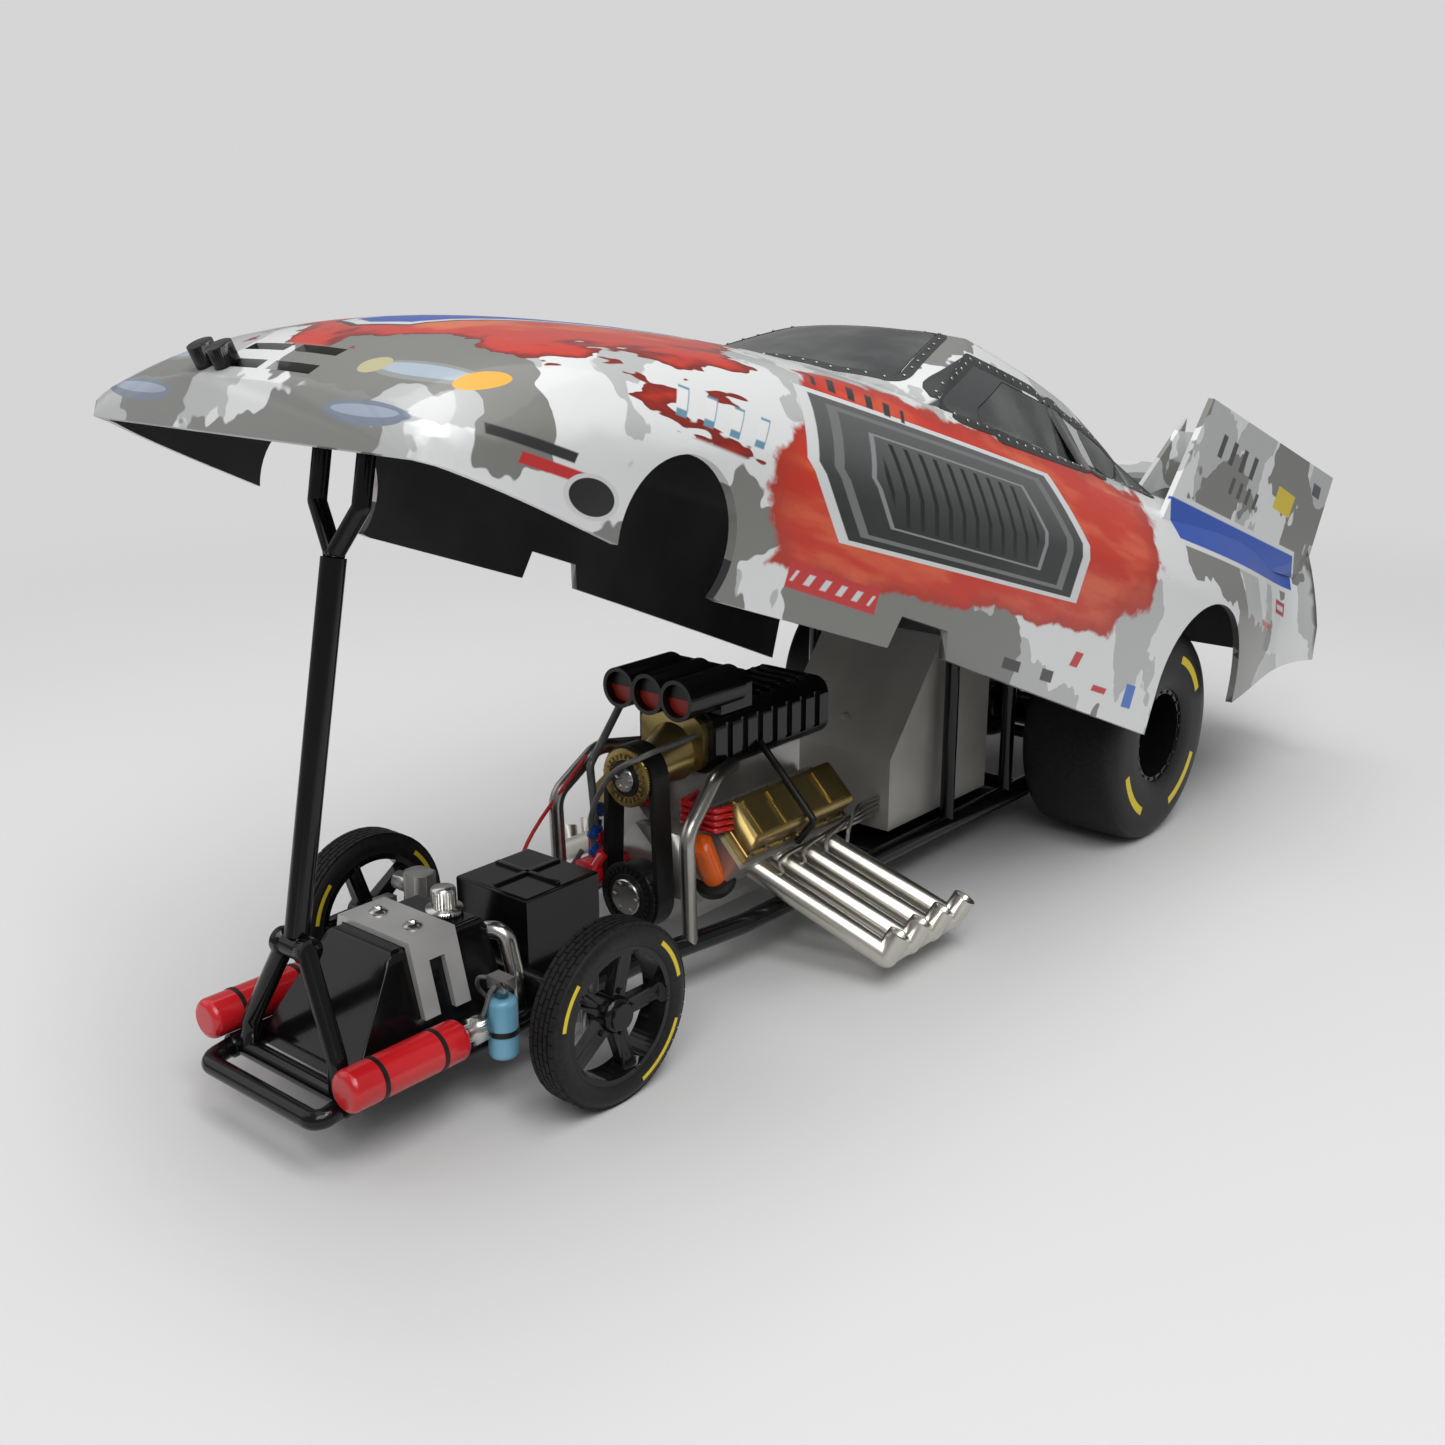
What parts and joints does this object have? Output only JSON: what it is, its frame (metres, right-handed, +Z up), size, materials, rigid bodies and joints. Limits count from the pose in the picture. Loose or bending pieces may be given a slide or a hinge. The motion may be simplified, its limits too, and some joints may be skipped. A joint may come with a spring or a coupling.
{
  "type": "die-cast scale model of a flip-body drag racing car",
  "caption": "Toy-scale drag racing car with a one-piece painted body tilted up on a prop over its open engine and tube frame, on free-turning wheels.",
  "frame": {"origin": "on the ground under the middle of the model's overall box", "axes": "+Z up, -Y towards the nose, +X towards the car's left side"},
  "size_m": [0.0824, 0.2348, 0.0941],
  "materials": {
    "black_paint": "gloss black",
    "body_paint": "gloss grey camouflage with red flash",
    "tyre": "satin black rubber",
    "black_plastic": "gloss black",
    "silver": "bright plated",
    "grey_metal": "satin grey",
    "gold": "satin gold",
    "red_plastic": "gloss red",
    "blue_plastic": "gloss light blue",
    "orange_plastic": "gloss orange",
    "smoked": "smoked clear plastic",
    "matte_black": "matt black",
    "rubber": "ribbed black rubber"
  },
  "bodies": {
    "chassis": {"air_bottle": "blue_plastic", "battery_box": "black_plastic", "bellhousing": "grey_metal", "blower_belt": "rubber", "blower_pulleys": "gold", "blower_snout": "gold", "blower_strap": "matte_black", "bottle_valves": "silver", "butterflies": "red_plastic", "cockpit_tub": "grey_metal", "cylinder_heads": "grey_metal", "driver_seat": "matte_black", "engine_block": "grey_metal", "fire_bottles": "red_plastic", "floor_pan": "matte_black", "frame_cross_bars": "black_paint", "frame_rail_left": "black_paint", "frame_rail_right": "black_paint", "front_axle": "black_paint", "front_hoop": "black_paint", "fuel_lines": "grey_metal", "fuel_pump": "red_plastic", "fuel_tank": "black_plastic", "headers_left": "silver", "headers_right": "silver", "hinge_frame": "black_paint", "injector_hat": "black_plastic", "intake_manifold": "grey_metal", "oil_filter": "orange_plastic", "plug_leads": "red_plastic", "rear_axle_housing": "black_paint", "roll_cage": "black_paint", "steering_knuckles": "grey_metal", "steering_wheel": "matte_black", "supercharger": "black_plastic", "tank_fittings": "silver", "tank_saddle": "silver", "valve_covers": "gold", "vent_tubes": "silver"},
    "flip_body": {"body_shell": "body_paint", "body_struts": "black_paint", "grille_inserts": "matte_black", "injector_collar": "matte_black", "nose_pins": "matte_black", "rear_spoiler": "body_paint", "rear_window": "smoked", "side_windows": "smoked", "spill_plates": "body_paint", "spoiler_braces": "body_paint", "windshield": "smoked"},
    "prop": {"body_prop": "black_paint"},
    "front_left": {"front_tyre_left": "tyre", "front_wheel_left": "black_paint"},
    "front_right": {"front_tyre_right": "tyre", "front_wheel_right": "black_paint"},
    "rear_axle": {"rear_axle_shaft": "silver", "rear_tyre_left": "tyre", "rear_tyre_right": "tyre", "rear_wheel_left": "black_paint", "rear_wheel_right": "black_paint"}
  },
  "joints": [
    {"name": "body_tilt", "type": "hinge", "parent": "chassis", "child": "flip_body", "pos_m": [0, 0.0859, 0.0376], "axis": [-1, 0, 0], "range_deg": [0, 12]},
    {"name": "prop_fold", "type": "hinge", "parent": "chassis", "child": "prop", "pos_m": [0, -0.1097, 0.0236], "axis": [-1, 0, 0], "range_deg": [0, 50]},
    {"name": "front_left_spin", "type": "hinge", "parent": "chassis", "child": "front_left", "pos_m": [0.0236, -0.0818, 0.0119], "axis": [1, 0, 0], "continuous": true},
    {"name": "front_right_spin", "type": "hinge", "parent": "chassis", "child": "front_right", "pos_m": [-0.0236, -0.0818, 0.0119], "axis": [1, 0, 0], "continuous": true},
    {"name": "rear_axle_spin", "type": "hinge", "parent": "chassis", "child": "rear_axle", "pos_m": [0, 0.0456, 0.019], "axis": [1, 0, 0], "continuous": true}
  ]
}
